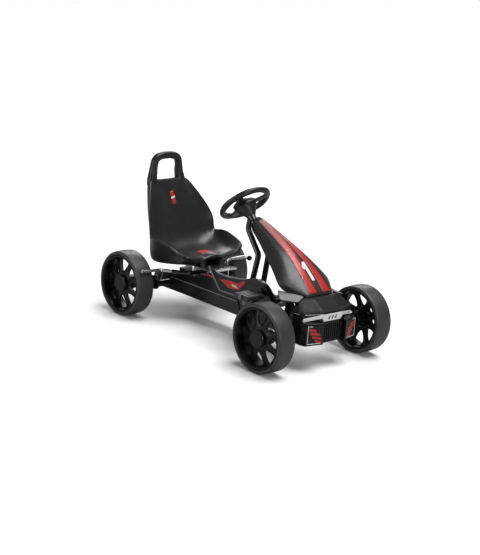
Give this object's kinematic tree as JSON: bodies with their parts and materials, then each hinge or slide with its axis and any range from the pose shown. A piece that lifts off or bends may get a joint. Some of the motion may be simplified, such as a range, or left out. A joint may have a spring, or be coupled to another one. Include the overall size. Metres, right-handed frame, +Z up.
{
  "type": "pedal go kart",
  "caption": "Child's pedal go kart: tubular frame, bucket seat, long front cowl, chain drive to the rear axle, tie-rod steering and a bar brake on the rear tyres.",
  "frame": {"origin": "on the ground, midway between the axles and in the kart's middle plane", "axes": "+Z up, the kart's nose points towards -Y, its right-hand side towards -X"},
  "size_m": [0.557, 1.034, 0.605],
  "materials": {
    "tyre": "matt EVA foam tread",
    "wheel_plastic": "satin moulded plastic",
    "black_metal": "semi-gloss powder coat",
    "gloss_black": "gloss moulded plastic",
    "seat_plastic": "satin blow-moulded plastic",
    "grip": "soft-touch grip",
    "bright_steel": "bright zinc plate",
    "dark_steel": "oiled steel",
    "nylon": "bearing nylon",
    "grey_plastic": "grained plastic",
    "silver": "silver film on plastic",
    "red_graphic": "printed film, red and silver on black",
    "pedal_plastic": "textured plastic"
  },
  "bodies": {
    "chassis": {"main_beam": "black_metal", "beam_end_caps": "nylon", "front_axle": "black_metal", "kingpins": "bright_steel", "steering_support": "black_metal", "steering_block": "black_metal", "steering_bushes": "nylon", "crank_hanger": "black_metal", "crank_bearings": "nylon", "drive_chain": "dark_steel", "chain_case_outer": "gloss_black", "chain_case_inner": "gloss_black", "side_panel": "red_graphic", "rear_carrier": "black_metal", "rear_bearings": "nylon", "brake_pins": "bright_steel", "seat_rail": "black_metal", "cowl": "red_graphic", "front_bracket": "black_metal", "bumper_bars": "black_metal", "front_deck": "gloss_black", "side_wings": "grey_plastic", "bumper": "gloss_black", "grille": "wheel_plastic", "headlight_panels": "red_graphic", "front_strip": "silver"},
    "rear_axle": {"rear_axle": "bright_steel", "rear_sprocket": "dark_steel", "tyre_rear_right": "tyre", "rim_rear_right": "wheel_plastic", "hub_cap_rear_right": "wheel_plastic"},
    "rear_left_wheel": {"tyre_rear_left": "tyre", "rim_rear_left": "wheel_plastic", "hub_cap_rear_left": "wheel_plastic"},
    "crank": {"crank_axle": "dark_steel", "crank_arms": "black_metal", "pedal_spindles": "dark_steel", "chainring": "dark_steel"},
    "pedal_right": {"pedal_right": "pedal_plastic"},
    "pedal_left": {"pedal_left": "pedal_plastic"},
    "steering": {"steering_shaft": "bright_steel", "pitman_arm": "black_metal", "steering_wheel": "grip", "steering_wheel_pad": "grip"},
    "knuckle_right": {"knuckle_right": "dark_steel"},
    "knuckle_left": {"knuckle_left": "dark_steel"},
    "front_right_wheel": {"tyre_front_right": "tyre", "rim_front_right": "wheel_plastic", "hub_cap_front_right": "wheel_plastic"},
    "front_left_wheel": {"tyre_front_left": "tyre", "rim_front_left": "wheel_plastic", "hub_cap_front_left": "wheel_plastic"},
    "tie_rod_right": {"tie_rod_right": "dark_steel"},
    "tie_rod_left": {"tie_rod_left": "dark_steel"},
    "brake": {"brake_bar": "bright_steel", "brake_lever": "bright_steel", "brake_knob": "wheel_plastic"},
    "seat": {"seat_shell": "seat_plastic", "seat_bracket": "bright_steel"},
    "seat_lock": {"seat_lock_knob": "wheel_plastic"}
  },
  "joints": [
    {"name": "rear_axle_spin", "type": "hinge", "parent": "chassis", "child": "rear_axle", "pos_m": [0, 0.392, 0.125], "axis": [1, 0, 0], "continuous": true, "deforming": ["drive_chain"]},
    {"name": "rear_left_wheel_spin", "type": "hinge", "parent": "chassis", "child": "rear_left_wheel", "pos_m": [0.241, 0.392, 0.125], "axis": [1, 0, 0], "continuous": true},
    {"name": "crank_spin", "type": "hinge", "parent": "chassis", "child": "crank", "pos_m": [0, -0.1299, 0.162], "axis": [1, 0, 0], "continuous": true},
    {"name": "pedal_right_spin", "type": "hinge", "parent": "crank", "child": "pedal_right", "pos_m": [-0.147, -0.20155, 0.2131], "axis": [1, 0, 0], "continuous": true},
    {"name": "pedal_left_spin", "type": "hinge", "parent": "crank", "child": "pedal_left", "pos_m": [0.147, -0.05826, 0.1109], "axis": [1, 0, 0], "continuous": true},
    {"name": "steering_turn", "type": "hinge", "parent": "chassis", "child": "steering", "pos_m": [0, 0.016, 0.494], "axis": [0, 0.7071, 0.7071], "range_deg": [-35, 35]},
    {"name": "knuckle_right_steer", "type": "hinge", "parent": "chassis", "child": "knuckle_right", "pos_m": [-0.17, -0.392, 0.125], "axis": [0, 0, 1], "range_deg": [-20.2, 20.2]},
    {"name": "knuckle_left_steer", "type": "hinge", "parent": "chassis", "child": "knuckle_left", "pos_m": [0.17, -0.392, 0.125], "axis": [0, 0, 1], "range_deg": [-20.2, 20.2]},
    {"name": "tie_rod_right_pivot", "type": "hinge", "parent": "knuckle_right", "child": "tie_rod_right", "pos_m": [-0.17, -0.342, 0.1055], "axis": [0, 0, 1], "range_deg": [-20.2, 20.2]},
    {"name": "tie_rod_left_pivot", "type": "hinge", "parent": "knuckle_left", "child": "tie_rod_left", "pos_m": [0.17, -0.342, 0.1055], "axis": [0, 0, 1], "range_deg": [-20.2, 20.2]},
    {"name": "front_right_wheel_spin", "type": "hinge", "parent": "knuckle_right", "child": "front_right_wheel", "pos_m": [-0.241, -0.392, 0.125], "axis": [1, 0, 0], "continuous": true},
    {"name": "front_left_wheel_spin", "type": "hinge", "parent": "knuckle_left", "child": "front_left_wheel", "pos_m": [0.241, -0.392, 0.125], "axis": [1, 0, 0], "continuous": true},
    {"name": "brake_pull", "type": "hinge", "parent": "chassis", "child": "brake", "pos_m": [0, 0.292, 0.155], "axis": [-1, 0, 0], "range_deg": [0, 5]},
    {"name": "seat_slide", "type": "slide", "parent": "chassis", "child": "seat", "axis": [0, 1, 0], "range_m": [-0.04, 0.04]},
    {"name": "seat_lock_turn", "type": "hinge", "parent": "seat", "child": "seat_lock", "pos_m": [0.04, 0.125, 0.19], "axis": [1, 0, 0], "range_deg": [0, 180]}
  ],
  "couplings": [
    {"joint": "crank_spin", "follows": "rear_axle_spin", "ratio": 0.45833},
    {"joint": "knuckle_right_steer", "follows": "steering_turn", "ratio": 0.575},
    {"joint": "knuckle_left_steer", "follows": "steering_turn", "ratio": 0.575},
    {"joint": "tie_rod_right_pivot", "follows": "steering_turn", "ratio": -0.575},
    {"joint": "tie_rod_left_pivot", "follows": "steering_turn", "ratio": -0.575}
  ]
}
